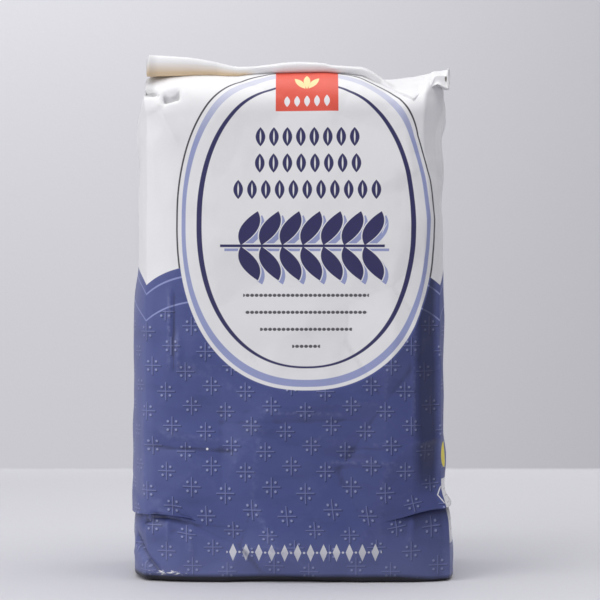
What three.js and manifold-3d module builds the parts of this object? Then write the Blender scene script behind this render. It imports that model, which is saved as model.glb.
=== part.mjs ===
// A filled paper bag of flour that stands on its folded base.
// One sheet of paper makes the whole bag: four walls with a soft crease at each corner, a block base with the
// fold that the flour hangs over above it, gussets tucked in under the top, and a closing strip rolled over it.
// Millimetres, +Z up, front towards -Y, origin at the middle of the base.
import * as THREE from "three";
import { mergeVertices } from "three/addons/utils/BufferGeometryUtils.js";
import Module from "manifold-3d";

// Walls. The left crease is a true corner. On the right the flour has made its own ridge in the front panel.
const LEFT_CREASE_X = -90.5;
const RIGHT_CREASE_X = 88;
const BLOCK_FLARE = 4;
const CREASE_Y = 51;
const RIDGE_SETBACK = 10;
const FRONT_BULGE = 9;
const BACK_BULGE = 8.5;
const LEFT_BULGE = 11;
const LEFT_UPPER_BULGE = 7.5;
const RIGHT_BULGE = 4;
const RIGHT_UPPER_BULGE = 7;
const RIGHT_BLOCK_BULGE = 5;

// The creases wander under the top, and so does the ridge: height, and shift or distance from the middle.
const LEFT_CREASE_SHIFT = [[278, 0], [288, -2.2], [302, -2.2], [306, 0]];
const RIGHT_CREASE_SHIFT = [[205, 0], [240, -2], [266, -4], [288, 2], [306, 2]];
const RIDGE = [[40, 86], [58, 76], [80, 73.7], [160, 75.5], [232, 80.5], [266, 77.5], [290, 78], [306, 82]];

// Base. Heights are measured from a line this far over the floor. The rounded edge stands a little off the floor,
// and the underside slopes down from it to the flat middle.
const BASE_Z = -2.7;
const EDGE_ROUND = 2.5;
const EDGE_LIFT = 0.6;
const UNDER_WIDTH = 8;
const EDGE_START = BASE_Z + EDGE_LIFT + EDGE_ROUND;
const EDGE_END = EDGE_START - EDGE_ROUND * Math.PI / 2;
const BASE_END = EDGE_END - UNDER_WIDTH;
const BLOCK_HEIGHT = 36.5;
const PINCH_DEPTH = 3.4;
const PINCH_WIDTH = 5;

// Top: the walls turn over a round shoulder to a low dome.
const SHOULDER_START = 279;
const SHOULDER_END = 306;
const SHOULDER_TURN = THREE.MathUtils.degToRad(80);
const FRONT_RIM_Z = 306;
const BACK_RIM_Z = 303.5;
const SIDE_RIM_DROP = 2;
const PANEL_INSET = 24;
const CORNER_INSET = 26;
const EAR_CORNER_INSET = 10;
const GUSSET_INSET = 14;
const GUSSET_TUCK = 9;
const LEFT_TUCK = [276, 302];
const RIGHT_TUCK = [272, 292];
const DOME = 5;

// Closing strip, from its hinge at the back to its fold at the front. Its left end stands up, and its right end
// is the bag's ear. The lists are distance and height along the fold, the hinge and the bed under the fold.
const STRIP_RIGHT_CUT = 5;
const STRIP_HINGE_Y = 18;
const STRIP_EDGE_Y = -40;
const STRIP_END_TURN = 3;
const STRIP_UNDERCUT = 2.5;
const STRIP_FOLD = [
  [-91, 316.3], [-80, 315], [-66, 313.4], [-49, 311], [-38, 308.6], [-31, 307.6], [-24, 308.5], [-8, 312],
  [0, 312.3], [21, 310.3], [37, 309.2], [47, 307.5], [58, 300.5], [68, 299.6], [84, 301.2], [98, 306],
];
const STRIP_HINGE = [[-91, 307], [-66, 306.6], [-49, 308.5], [0, 308.8], [37, 307.7], [58, 307.5], [98, 314.3]];
const STRIP_BED = [[-91, 301], [-80, 298.5], [-30, 298.5], [30, 299], [46, 298], [60, 292], [84, 294], [98, 297]];
const HINGE_BED_Z = 299.5;

// Steps of the grid along the front, along a side, up the walls, and along, across and down the strip.
const STEPS = { front: 32, side: 14, up: 42, strip: 40, stripDepth: 8, stripHeight: 2 };
// Steps up the walls, and the height along the paper that each reaches: rows crowd at the folds.
const ROWS = [
  [0, BASE_END], [1, EDGE_END], [4, EDGE_START], [8, 33.5], [9, 36.1], [10, 36.9], [11, 40], [15, 60],
  [30, 262], [33, SHOULDER_START], [42, SHOULDER_END],
];

// The middle of the base in the bag's own measures, which is moved to the origin.
const MIDDLE = { x: -2.1, y: -0.25, z: BASE_Z };

const { clamp, lerp, smoothstep } = THREE.MathUtils;

// Straight lines between the listed stations, which rise.
function between(stations, x) {
  let i = 1;
  while (i < stations.length - 1 && x > stations[i][0]) i += 1;
  const share = (x - stations[i - 1][0]) / (stations[i][0] - stations[i - 1][0]);
  return lerp(stations[i - 1][1], stations[i][1], clamp(share, 0, 1));
}

function hill(x, middle, width) {
  return Math.exp(-(((x - middle) / width) ** 2));
}

// How far the wall has turned in at arc height h: 0 on the upright wall, 1 at the rim of the top.
function shoulder(h) {
  const turned = clamp((h - SHOULDER_START) / (SHOULDER_END - SHOULDER_START), 0, 1) * SHOULDER_TURN;
  return {
    inward: (1 - Math.cos(turned)) / (1 - Math.cos(SHOULDER_TURN)),
    upward: Math.sin(turned) / Math.sin(SHOULDER_TURN),
  };
}

// The base edge: how far it is inside the wall, and its height.
function baseEdge(h) {
  if (h >= EDGE_START) return { inward: 0, height: h };
  const around = Math.min(EDGE_START - h, EDGE_START - EDGE_END) / EDGE_ROUND;
  const under = clamp(EDGE_END - h, 0, UNDER_WIDTH);
  return {
    inward: EDGE_ROUND * (1 - Math.cos(around)) + under,
    height: BASE_Z + EDGE_LIFT * (1 - under / UNDER_WIDTH) ** 1.5 + EDGE_ROUND * (1 - Math.sin(around)),
  };
}

function wallHeight(h, rimZ) {
  if (h <= SHOULDER_START) return baseEdge(h).height;
  return lerp(SHOULDER_START, rimZ, shoulder(h).upward);
}

// The fold above the block base: the wall hangs over it a little, and is drawn in below it.
function pinch(h, depth) {
  const above = h - BLOCK_HEIGHT;
  const overhang = 0.35 * Math.exp(-Math.abs(above) / 12);
  return depth * (above > 0 ? overhang : overhang - Math.exp(above / PINCH_WIDTH));
}

function panelX(t, h) {
  const flare = BLOCK_FLARE * (1 - smoothstep(h, 28, 52));
  const left = between(LEFT_CREASE_SHIFT, h) * smoothstep(-t, 0.85, 1);
  const right = between(RIGHT_CREASE_SHIFT, h) * smoothstep(t, 0.7, 1);
  return lerp(LEFT_CREASE_X, RIGHT_CREASE_X + flare, (t + 1) / 2) + left + right;
}

// Height of the rim of the top along the front edge: it drops towards the ear.
function frontRimZ(x) {
  return FRONT_RIM_Z - 1.5 * smoothstep(-x, 60, 90) - 10 * smoothstep(x, 38, 66) + 4 * smoothstep(x, 68, 86);
}

function frontPoint(t, h) {
  const x = panelX(t, h);
  const ridgeX = between(RIDGE, h);
  const beyond = Math.max(0, x - ridgeX) / (RIGHT_CREASE_X - ridgeX);
  const bulge = FRONT_BULGE * (1 - 0.35 * smoothstep(h, 200, 290)) * (1 - Math.abs(t) ** 7);
  const left = smoothstep(-x, 58, 78);
  const right = smoothstep(x, 46, 88);
  const depth = PINCH_DEPTH * Math.max(left, smoothstep(x, 50, 72));
  const climb = right * 4.4 - (1 - left) * (1 - right) * 3;
  const corner = Math.abs(t) ** 6;
  const { inward } = shoulder(h);
  const inset = lerp(PANEL_INSET, t > 0 ? EAR_CORNER_INSET : CORNER_INSET, corner);
  const edge = baseEdge(h).inward;
  const out = CREASE_Y + bulge - RIDGE_SETBACK * smoothstep(h, 40, 70) * beyond + pinch(h, depth);
  return new THREE.Vector3(
    x * (1 - 0.012 * corner * inward) - Math.sign(t) * edge * corner,
    -(out - inset * inward - edge),
    wallHeight(h, frontRimZ(x)) + climb * hill(h, BLOCK_HEIGHT, 16),
  );
}

function backPoint(t, h) {
  const x = panelX(t, h);
  const side = Math.max(smoothstep(-x, 58, 90), smoothstep(x, 58, 90));
  const bulge = BACK_BULGE * (1 - 0.3 * smoothstep(h, 200, 290)) * (1 - Math.abs(t) ** 4);
  const corner = Math.abs(t) ** 6;
  const { inward } = shoulder(h);
  const inset = lerp(PANEL_INSET, CORNER_INSET, corner);
  const edge = baseEdge(h).inward;
  const climb = 6 * smoothstep(x, 40, 88);
  return new THREE.Vector3(
    x * (1 - 0.012 * corner * inward) - Math.sign(t) * edge * corner,
    CREASE_Y + bulge + pinch(h, PINCH_DEPTH * Math.max(side, 0.08)) - inset * inward - edge,
    wallHeight(h, BACK_RIM_Z - 2 * corner) + climb * hill(h, BLOCK_HEIGHT, 16),
  );
}

function sideBulge(sign, h) {
  if (sign < 0) return lerp(LEFT_BULGE, LEFT_UPPER_BULGE, smoothstep(h, 150, 200));
  const low = lerp(RIGHT_BLOCK_BULGE, RIGHT_BULGE, smoothstep(h, 36, 60));
  return lerp(low, RIGHT_UPPER_BULGE, smoothstep(h, 215, 260));
}

// A side wall runs between the edges of the front and back panels, bulges, and tucks in as a gusset above.
function sidePoint(sign, t, h) {
  const near = frontPoint(sign, h);
  const far = backPoint(sign, h);
  const { inward, upward } = shoulder(h);
  const fold = 1 - Math.abs(t) ** 1.4;
  const tucked = smoothstep(h, ...(sign < 0 ? LEFT_TUCK : RIGHT_TUCK));
  const tuck = (GUSSET_TUCK * tucked + GUSSET_INSET * inward) * fold;
  const edgeDepth = pinch(h, PINCH_DEPTH);
  const depth = pinch(h, PINCH_DEPTH * (1 - 0.4 * (1 - t * t)));
  const out = sideBulge(sign, h) * (1 - Math.abs(t) ** 3) * (1 - tucked) + depth - edgeDepth - tuck;
  const wall = near.lerp(far, (t + 1) / 2);
  wall.x += sign * (out + edgeDepth * (1 - Math.abs(t) ** 12));
  wall.z -= SIDE_RIM_DROP * upward * fold;
  return wall;
}

function wallPoint(x, y, h) {
  if (y <= -1) return frontPoint(x, h);
  if (y >= 1) return backPoint(x, h);
  return sidePoint(Math.sign(x), y, h);
}

// A point inside the loop where the walls end, blended from the four sides of the loop.
function capPoint(x, y, h) {
  const at = (a, b) => wallPoint(a, b, h);
  const u = (x + 1) / 2;
  const v = (y + 1) / 2;
  const across = at(-1, y).lerp(at(1, y), u);
  const along = at(x, -1).lerp(at(x, 1), v);
  const corners = at(-1, -1).lerp(at(1, -1), u).lerp(at(-1, 1).lerp(at(1, 1), u), v);
  return across.add(along).sub(corners);
}

function domeAt(x, y) {
  return DOME * (1 - x ** 4) * (1 - y * y);
}

function bagPoint(p) {
  if (p.z <= -1) return capPoint(p.x, p.y, ROWS[0][1]).setZ(BASE_Z);
  if (p.z >= 1) {
    const point = capPoint(p.x, p.y, ROWS[ROWS.length - 1][1]);
    return point.setZ(point.z + domeAt(p.x, p.y));
  }
  return wallPoint(p.x, p.y, between(ROWS, STEPS.up * (p.z + 1) / 2));
}

// The strip is sunk a little into the top that it lies on. Its front face leans back under the fold.
function stripPoint(p) {
  const share = (1 - p.y) / 2;
  const rightX = STRIP_FOLD[STRIP_FOLD.length - 1][0];
  const x = lerp(STRIP_FOLD[0][0], rightX - STRIP_RIGHT_CUT * share, (p.x + 1) / 2);
  const edgeY = STRIP_EDGE_Y + STRIP_END_TURN * smoothstep(x, 80, rightX);
  const top = lerp(between(STRIP_HINGE, x), between(STRIP_FOLD, x), share ** 1.25);
  const bed = lerp(HINGE_BED_Z, between(STRIP_BED, x), share);
  const down = (1 - p.z) / 2;
  const undercut = STRIP_UNDERCUT * down * down * smoothstep(share, 0.8, 1);
  return new THREE.Vector3(x, lerp(STRIP_HINGE_Y, edgeY, share) + undercut, lerp(top, bed, down));
}

// A box whose grid points are each moved to their place, as one closed solid.
function moldedBox(wasm, stepsX, stepsY, stepsZ, place) {
  const box = new THREE.BoxGeometry(2, 2, 2, stepsX, stepsY, stepsZ);
  box.deleteAttribute("normal");
  box.deleteAttribute("uv");
  const merged = mergeVertices(box, 1e-4);
  const position = merged.getAttribute("position");
  const point = new THREE.Vector3();
  for (let i = 0; i < position.count; i += 1) {
    point.fromBufferAttribute(position, i);
    const moved = place(point);
    position.setXYZ(i, moved.x - MIDDLE.x, moved.y - MIDDLE.y, moved.z - MIDDLE.z);
  }
  return new wasm.Manifold(new wasm.Mesh({
    numProp: 3,
    vertProperties: position.array,
    triVerts: new Uint32Array(merged.index.array),
  }));
}

function toGeometry(solid) {
  const mesh = solid.getMesh();
  const geometry = new THREE.BufferGeometry();
  geometry.setAttribute("position", new THREE.BufferAttribute(mesh.vertProperties, 3));
  geometry.setIndex(new THREE.BufferAttribute(mesh.triVerts, 1));
  geometry.computeVertexNormals();
  return geometry;
}

const wasm = await Module();
wasm.setup();

const body = moldedBox(wasm, STEPS.front, STEPS.side, STEPS.up, bagPoint);
const strip = moldedBox(wasm, STEPS.strip, STEPS.stripDepth, STEPS.stripHeight, stripPoint);

const paper = new THREE.MeshStandardMaterial({ color: 0x4a548c, roughness: 0.5, metalness: 0 });
const bag = new THREE.Mesh(toGeometry(body.add(strip)), paper);
bag.name = "flour_bag";

const group = new THREE.Group();
group.add(bag);

export default group;
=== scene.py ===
"""A filled paper bag of flour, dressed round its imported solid.

The bag is one sheet of printed paper. Its shape is worked out in millimetres, from the height along the paper
and the place round the bag, and goes into Blender in metres. The print is drawn on the same two measures, so
it follows every fold.
"""
import math

import bmesh
import bpy
import numpy as np
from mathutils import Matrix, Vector
from mathutils.bvhtree import BVHTree
from mathutils.geometry import delaunay_2d_cdt


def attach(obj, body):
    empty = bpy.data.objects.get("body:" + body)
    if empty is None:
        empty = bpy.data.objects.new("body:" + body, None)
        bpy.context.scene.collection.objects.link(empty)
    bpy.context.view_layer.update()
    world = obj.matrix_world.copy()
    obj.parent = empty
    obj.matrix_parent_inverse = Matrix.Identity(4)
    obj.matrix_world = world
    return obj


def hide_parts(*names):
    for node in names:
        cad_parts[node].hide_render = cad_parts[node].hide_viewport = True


MM = 0.001
NEARLY_0 = 1e-9
rng = np.random.default_rng(11)

# Heights along the paper are measured from a line this far over the floor.
BASE_Z = -2.7

# The bag's own middle, moved to the frame's origin.
MIDDLE = np.array([-2.1, -0.25, BASE_Z])

# Walls.
LEFT_CREASE_X = -90.5
RIGHT_CREASE_X = 88.0
LEFT_CREASE_HEIGHTS = [278, 288, 302, 306]
LEFT_CREASE_SHIFTS = [0, -2.2, -2.2, 0]
RIGHT_CREASE_HEIGHTS = [0, 205, 240, 266, 288, 306]
RIGHT_CREASE_SHIFTS = [0, 0, -2, -4, 2, 2]
BLOCK_FLARE = 4.0
CREASE_Y = 51.0
RIDGE_SETBACK = 10.0
EAR_SETBACK = 5.0
FRONT_BULGE = 9.0
FRONT_BULGE_LOST = 0.35
BACK_BULGE = 8.5
BACK_BULGE_LOST = 0.3
BULGE_LOST_FROM = 200
BULGE_LOST_TO = 290
LEFT_BULGE = 11.0
LEFT_UPPER_BULGE = 7.5
RIGHT_BULGE = 4.0
RIGHT_UPPER_BULGE = 2.0
RIGHT_LOW_BULGE = 2.3
PLEAT = 3.8
PLEAT_PLACES = [-1, -0.94, -0.9, -0.7, -0.2]
PLEAT_SHARES = [0, 0.85, 1, 1, 0]
RIGHT_BLOCK_BULGE = 5.0
RIDGE_HEIGHTS = [40, 58, 80, 160, 232, 266, 290, 306]
RIDGE_PLACES = [86, 76, 73.7, 75.5, 80.5, 77.5, 78, 82]

# Base.
EDGE_ROUND = 2.5
EDGE_LIFT = 0.6
UNDER_WIDTH = 8.0
EDGE_START = BASE_Z + EDGE_LIFT + EDGE_ROUND
EDGE_END = EDGE_START - EDGE_ROUND * math.pi / 2
BASE_END = EDGE_END - UNDER_WIDTH
BLOCK_HEIGHT = 36.5
PINCH_DEPTH = 3.4
PINCH_WIDTH = 5.0
PINCH_STEP = 0.8
OVERHANG_SHARE = 0.35
OVERHANG_REACH = 12.0
FOLD_CLIMB_RIGHT = 4.4
FOLD_DROP_MIDDLE = 3.0
FOLD_CLIMB_BACK = 6.0
FOLD_CLIMB_REACH = 16.0
BACK_FOLD_LEAST = 0.08
OVERHANG_SHADE = 1.15
BASE_FLAP = 0.5
BASE_SIDE_FLAP = 0.4
BASE_HOLLOW = 1.1
BASE_PAPER_V = -12.0

# Top.
SHOULDER_START = 279.0
SHOULDER_END = 306.0
SHOULDER_TURN = math.radians(80)
SHOULDER_ARC = 39.4
FRONT_RIM_Z = 306.0
BACK_RIM_Z = 303.5
LEFT_RIM_DROP = 1.5
RIGHT_RIM_DROP = 10.0
RIGHT_RIM_RISE = 4.0
BACK_RIM_DROP = 2.0
SIDE_RIM_DROP = 2.0
TOP_NARROWING = 0.012
PANEL_INSET = 24.0
CORNER_INSET = 26.0
EAR_CORNER_INSET = 10.0
GUSSET_INSET = 14.0
GUSSET_TUCK = 9.0
LEFT_TUCK_HEIGHTS = (276, 302)
RIGHT_TUCK_HEIGHTS = (272, 292)
DOME = 5.0
CAP_PAPER_REACH = 26.0

# Closing strip: a flattened tube of paper from its hinge to a fold along the front. Its left end stands up.
STRIP_LEFT_X = -91.0
STRIP_RIGHT_X = 98.0
STRIP_RIGHT_CUT = 5.0
STRIP_END_TURN = 3.0
STRIP_ROUND = 100.0
STRIP_FACE_START = 0.42
STRIP_FACE_END = 0.62
STRIP_UNDERCUT_PLACES = [-40, -20, 40, 48, 80, 88]
STRIP_UNDERCUTS = [-0.5, 2.5, 2.5, 0, 0, -3.5]
STRIP_HINGE_Y = 18.0
STRIP_EDGE_PLACES = [-91, -72, -48, -30, -10, 52, 71, 84]
STRIP_EDGES = [-40, -39, -36.5, -38, -40, -40, -53, -40]
STRIP_LIFT_PLACES = [-91, -80, -66, -49, -38, -31, -24, -16, -8, 0, 10, 21, 37, 47, 53, 60, 98]
STRIP_LIFTS = [11.3, 10.1, 8.9, 6.3, 4.0, 2.6, 2.2, 3.4, 4.7, 4.9, 4.3, 3.2, 3.0, 3.0, 2.2, 0.2, 0.2]
STRIP_TIP_PLACES = [36, 47, 58, 75, 98]
STRIP_TIPS = [0, 1.5, 3.0, 5.0, 10]
STRIP_EAR_START = 80.0
STRIP_EAR_HEIGHT = 6.0
STRIP_EAR_SLANT = 3.0
STRIP_PRESSED_PLACES = [44, 54, 82, 86]
STRIP_PRESSED_SHARES = [0, 1, 1, 0]
STRIP_PRESSED_LOSS = 0.8
STRIP_SHEET = 0.45
STRIP_CLEARANCE = 0.4
STRIP_LEAST_HEIGHT = 0.8
STRIP_FACE_BULGE = 0.22
STRIP_BED_INSET = 27
STRIP_LINING_SHADE_END = -24.0
STRIP_RAW_SHADE_BELOW = 6.0
STRIP_OPEN_END = -84.0
# The painted shade in the mouth of the ear: its middle along and round the strip, and half its width and
# height.
STRIP_MOUTH = (91.4, 48.5, 0.8, 3.6)

# The grids that the sheet and the strip are made on.
FRONT_STEPS = 130
SIDE_STEPS = 56
STRIP_COLUMNS = 160
STRIP_ROWS = 101
CROWDING = 0.25
WALL_BANDS = [(52, 1.0), (112, 1.45), (225, 2.3), (279, 1.5)]
SHOULDER_ROWS = 22

# Places round the bag, measured along the paper from the middle of the front.
SIDE_LENGTH = 2 * CREASE_Y
FRONT_WIDTH = RIGHT_CREASE_X - LEFT_CREASE_X
BACK_MIDDLE = RIGHT_CREASE_X + SIDE_LENGTH + FRONT_WIDTH / 2


def smooth(x, low, high):
    """0 below low, 1 above high, and an easy curve between them."""
    share = np.clip((np.asarray(x, float) - low) / (high - low), 0, 1)
    return share * share * (3 - 2 * share)


def hill(x, middle, width):
    return np.exp(-(((x - middle) / width) ** 2))


def mix(a, b, share):
    return a + (b - a) * share


def points(x, y, z):
    return np.stack(np.broadcast_arrays(x, y, z), axis=-1).astype(float)


# Shape of the walls


def shoulder(h):
    """How far the wall has turned in, and how far up, over the round shoulder: 0 to 1 each."""
    turned = np.clip((h - SHOULDER_START) / (SHOULDER_END - SHOULDER_START), 0, 1) * SHOULDER_TURN
    inward = (1 - np.cos(turned)) / (1 - math.cos(SHOULDER_TURN))
    return inward, np.sin(turned) / math.sin(SHOULDER_TURN)


def base_edge(h):
    """How far the base edge is inside the wall, and its height. There is a small gap under it."""
    around = np.clip(EDGE_START - h, 0, EDGE_START - EDGE_END) / EDGE_ROUND
    under = np.clip(EDGE_END - h, 0, UNDER_WIDTH)
    inward = EDGE_ROUND * (1 - np.cos(around)) + under
    height = BASE_Z + EDGE_LIFT * (1 - under / UNDER_WIDTH) ** 1.5 + EDGE_ROUND * (1 - np.sin(around))
    return inward, np.where(h >= EDGE_START, h, height)


def pinch(h, depth):
    """The fold above the block base: the wall hangs over it a little, and is drawn in below it."""
    above = h - BLOCK_HEIGHT
    overhang = OVERHANG_SHARE * np.exp(-np.abs(above) / OVERHANG_REACH)
    return depth * np.where(above > 0, overhang, overhang - np.exp(-np.abs(above) / PINCH_WIDTH))


def wall_height(h, rim_z):
    upward = shoulder(h)[1]
    return np.where(h <= SHOULDER_START, base_edge(h)[1], SHOULDER_START + upward * (rim_z - SHOULDER_START))


def panel_x(t, h):
    flare = BLOCK_FLARE * (1 - smooth(h, 28, 52))
    left = np.interp(h, LEFT_CREASE_HEIGHTS, LEFT_CREASE_SHIFTS) * smooth(-t, 0.85, 1)
    right = np.interp(h, RIGHT_CREASE_HEIGHTS, RIGHT_CREASE_SHIFTS) * smooth(t, 0.7, 1)
    return mix(LEFT_CREASE_X, RIGHT_CREASE_X + flare, (t + 1) / 2) + left + right


def bulge_kept(h, lost):
    """Share of a wall's bulge at each height, when so much of it is lost at the top."""
    return 1 - lost * smooth(h, BULGE_LOST_FROM, BULGE_LOST_TO)


def fold_line(h, climb):
    """How far the fold above the base runs above its usual height, faded out above and below it."""
    return climb * hill(h, BLOCK_HEIGHT, FOLD_CLIMB_REACH)


def front_rim(x):
    """Height of the front's top edge, which is lower at the right and rises again to the corner there."""
    left = LEFT_RIM_DROP * smooth(-x, 60, 90)
    return FRONT_RIM_Z - left - RIGHT_RIM_DROP * smooth(x, 38, 66) + RIGHT_RIM_RISE * smooth(x, 68, 86)


def front_panel(t, h):
    """Points of the front, from -1 at the left corner to 1 at the right, with a facet beyond its ridge."""
    x = panel_x(t, h)
    ridge_x = np.interp(h, RIDGE_HEIGHTS, RIDGE_PLACES)
    beyond = np.maximum(0, x - ridge_x) / (RIGHT_CREASE_X - ridge_x)
    bulge = FRONT_BULGE * bulge_kept(h, FRONT_BULGE_LOST) * (1 - np.abs(t) ** 7)
    left = smooth(-x, 58, 78)
    right = smooth(x, 46, 88)
    depth = PINCH_DEPTH * np.maximum(left, smooth(x, 50, 72))
    climb = right * FOLD_CLIMB_RIGHT - (1 - left) * (1 - right) * FOLD_DROP_MIDDLE
    corner = np.abs(t) ** 6
    inward = shoulder(h)[0]
    inset = mix(PANEL_INSET, np.where(t > 0, EAR_CORNER_INSET, CORNER_INSET), corner)
    setback = RIDGE_SETBACK * smooth(h, 40, 70) + EAR_SETBACK * smooth(h, 250, 284)
    out = CREASE_Y + bulge - setback * beyond + pinch(h, depth)
    edge = base_edge(h)[0]
    return points(
        x * (1 - TOP_NARROWING * corner * inward) - np.sign(t) * edge * corner,
        -(out - inset * inward - edge),
        wall_height(h, front_rim(x)) + fold_line(h, climb),
    )


def back_panel(t, h):
    """Points of the back, from -1 at its corner with the left side to 1 at that with the right side."""
    x = panel_x(t, h)
    side = np.maximum(smooth(-x, 58, 90), smooth(x, 58, 90))
    depth = PINCH_DEPTH * np.maximum(side, BACK_FOLD_LEAST)
    bulge = BACK_BULGE * bulge_kept(h, BACK_BULGE_LOST) * (1 - np.abs(t) ** 4)
    corner = np.abs(t) ** 6
    inward = shoulder(h)[0]
    inset = mix(PANEL_INSET, CORNER_INSET, corner)
    climb = FOLD_CLIMB_BACK * smooth(x, 40, 88)
    edge = base_edge(h)[0]
    return points(
        x * (1 - TOP_NARROWING * corner * inward) - np.sign(t) * edge * corner,
        CREASE_Y + bulge + pinch(h, depth) - inset * inward - edge,
        wall_height(h, BACK_RIM_Z - BACK_RIM_DROP * corner) + fold_line(h, climb),
    )


def side_bulge(sign, h):
    if sign < 0:
        return mix(LEFT_BULGE, LEFT_UPPER_BULGE, smooth(h, 150, 200))
    bulge = mix(RIGHT_BLOCK_BULGE, RIGHT_BULGE, smooth(h, 36, 60))
    return mix(bulge, RIGHT_UPPER_BULGE, smooth(h, 215, 260)) + RIGHT_LOW_BULGE * hill(h, 68, 15)


def side_panel(sign, t, h):
    """Points of a narrow side, from -1 at the front to 1 at the back. Its middle is tucked in at the top."""
    near = front_panel(np.full_like(t, sign), h)
    far = back_panel(np.full_like(t, sign), h)
    tuck_start, tuck_end = LEFT_TUCK_HEIGHTS if sign < 0 else RIGHT_TUCK_HEIGHTS
    inward, upward = shoulder(h)
    fold = 1 - np.abs(t) ** 1.4
    tuck = (GUSSET_TUCK * smooth(h, tuck_start, tuck_end) + GUSSET_INSET * inward) * fold
    full = 1 - smooth(h, tuck_start, tuck_end)
    edge_depth = pinch(h, PINCH_DEPTH)
    depth = PINCH_DEPTH * (1 - 0.4 * (1 - t * t))
    out = side_bulge(sign, h) * (1 - np.abs(t) ** 3) * full + pinch(h, depth) - edge_depth - tuck
    if sign > 0:
        pleat = PLEAT * smooth(h, 222, 250) * (1 - smooth(h, 280, 296))
        out = out + pleat * np.interp(t, PLEAT_PLACES, PLEAT_SHARES)
    wall = mix(near, far, ((t + 1) / 2)[..., None])
    wall[..., 0] += sign * (out + edge_depth * (1 - np.abs(t) ** 12))
    wall[..., 2] -= SIDE_RIM_DROP * upward * fold
    return wall


# Relief of the paper, as a distance out of the wall for a place u round the bag and a height v


def crease(u, v, start, end, rise, width):
    """A fold line with sharp top and wide flanks, which fades towards its ends."""
    a = np.array(start, float)
    along = np.array(end, float) - a
    length = np.hypot(*along)
    du, dv = u - a[0], v - a[1]
    share = (du * along[0] + dv * along[1]) / length**2
    off = np.abs(du * along[1] - dv * along[0]) / length
    overshoot = np.maximum(0, np.abs(share - 0.5) - 0.5) * length
    fade = np.clip(1 - np.abs(2 * share - 1) ** 4, 0, 1) * 0.6 + 0.4
    distance = np.hypot(off, overshoot)
    return rise * fade * np.exp(-distance / width)


def flap(u, v, start, end, rise, reach):
    """The raised edge of a flap, which lies on the right of the line, seen from outside."""
    along = np.array(end, float) - start
    length = np.hypot(*along)
    du, dv = u - start[0], v - start[1]
    share = (du * along[0] + dv * along[1]) / length**2
    behind = (du * along[1] - dv * along[0]) / length
    ends = smooth(share, -0.05, 0.2) * (1 - smooth(share, 0.8, 1.05))
    return rise * ends * smooth(behind, -0.6, 0.6) * np.exp(-np.maximum(0, behind) / reach)


def slanted_dent(u, v, low, high, slope, depth):
    """A dent with a crisp outline that deepens from its upper edge to its lower one."""
    level = v - slope * (u - low[0])
    down = (high[1] - level) / (high[1] - low[1])
    inside = smooth(u, low[0] - 1, low[0] + 1) * (1 - smooth(u, high[0] - 1, high[0] + 1))
    return -depth * np.clip(down, 0, 1) * inside * (1 - smooth(down, 1, 1.3))


def scattered_facets(u, v, spacing, size):
    """Triangles over the sheet between scattered points, and the points' heights over it."""
    low = np.array([u.min() - spacing, v.min() - spacing])
    high = np.array([u.max() + spacing, v.max() + spacing])
    across, up = (int(n) + 1 for n in (high - low) / spacing)
    grid = np.stack(np.meshgrid(np.arange(across), np.arange(up)), axis=-1).reshape(-1, 2)
    jitter = rng.uniform(-0.42, 0.42, grid.shape)
    spots = low + (grid + jitter) * spacing
    heights = rng.normal(0, size, len(spots))
    corners, _, triangles, origins, *_ = delaunay_2d_cdt([Vector(s) for s in spots], [], [], 0, 1e-6)
    corner_heights = np.array([heights[o[0]] for o in origins])
    return np.array([tuple(c) for c in corners]), corner_heights, triangles


def crumple(u, v, spacing, size):
    """Flat facets between scattered points: paper that has been handled."""
    corners, corner_heights, triangles = scattered_facets(u, v, spacing, size)
    flat_u, flat_v = u.ravel(), v.ravel()
    order = np.argsort(flat_v, kind="stable")
    sorted_v = flat_v[order]
    relief = np.zeros(flat_u.size)
    for triangle in triangles:
        p = corners[list(triangle)]
        z = corner_heights[list(triangle)]
        first, last = np.searchsorted(sorted_v, [p[:, 1].min(), p[:, 1].max()])
        near = order[first:last]
        near = near[(flat_u[near] >= p[:, 0].min()) & (flat_u[near] <= p[:, 0].max())]
        e1, e2 = p[1] - p[0], p[2] - p[0]
        area = e1[0] * e2[1] - e1[1] * e2[0]
        if abs(area) < NEARLY_0 or not near.size:
            continue
        du, dv = flat_u[near] - p[0, 0], flat_v[near] - p[0, 1]
        b = (du * e2[1] - dv * e2[0]) / area
        c = (dv * e1[0] - du * e1[1]) / area
        inside = (b >= -NEARLY_0) & (c >= -NEARLY_0) & (b + c <= 1 + NEARLY_0)
        relief[near[inside]] = (z[0] + b * (z[1] - z[0]) + c * (z[2] - z[0]))[inside]
    return relief.reshape(u.shape)


# Height of a fold over what is round it, in mm, from which ink is worn off it or shade lies in it.
FOLD_MARK = 0.35

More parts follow.
